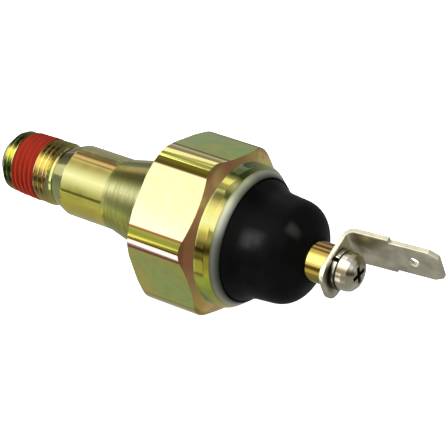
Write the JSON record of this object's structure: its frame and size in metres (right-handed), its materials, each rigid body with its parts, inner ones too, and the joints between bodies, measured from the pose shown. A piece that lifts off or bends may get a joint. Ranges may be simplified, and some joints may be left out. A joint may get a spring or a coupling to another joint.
{
  "type": "oil pressure sender",
  "caption": "Threaded oil pressure sender with a hexagon body, black insulator, brass post and a bent blade terminal under a screw.",
  "frame": {"origin": "on the axis, at the gauge plane of the taper oil thread", "axes": "+X along the axis from the oil thread to the terminal, +Z square to one hexagon flat, +Y completes the right-handed set"},
  "size_m": [0.0748, 0.0266, 0.024],
  "materials": {
    "zinc_plate": "yellow chromated zinc plate, rubbed bright on the rolled lip",
    "sealant": "dry red-orange thread sealant",
    "brass": "turned and polished brass",
    "rubber": "nitrile rubber",
    "film": "sheet, amber",
    "spring_steel": "bright steel",
    "light_moulding": "natural glass-filled plastic",
    "silver": "silver",
    "black_moulding": "satin black moulding",
    "tin_plate": "tin plated sheet, dull",
    "nickel_plate": "nickel plate"
  },
  "bodies": {
    "housing": {"body": "zinc_plate", "thread_sealant": "sealant", "port_restrictor": "brass", "diaphragm_gasket": "rubber", "diaphragm": "film", "contact_ring": "spring_steel", "fixed_contact": "silver", "contact_spring": "spring_steel", "setting_screw": "brass", "insulator": "black_moulding", "insulator_seal": "rubber", "terminal_post": "brass", "terminal_lug": "tin_plate", "lock_washer": "nickel_plate", "terminal_screw": "nickel_plate"},
    "plunger": {"pusher": "light_moulding", "contact_plate": "brass", "moving_contacts": "silver", "diaphragm_plate": "spring_steel"}
  },
  "joints": [
    {"name": "plunger_slide", "type": "slide", "parent": "housing", "child": "plunger", "axis": [1, 0, 0], "range_m": [0, 0.0007], "stiffness_N_per_m": 1200, "springref_m": -0.002, "deforming": ["contact_spring", "diaphragm"]}
  ]
}
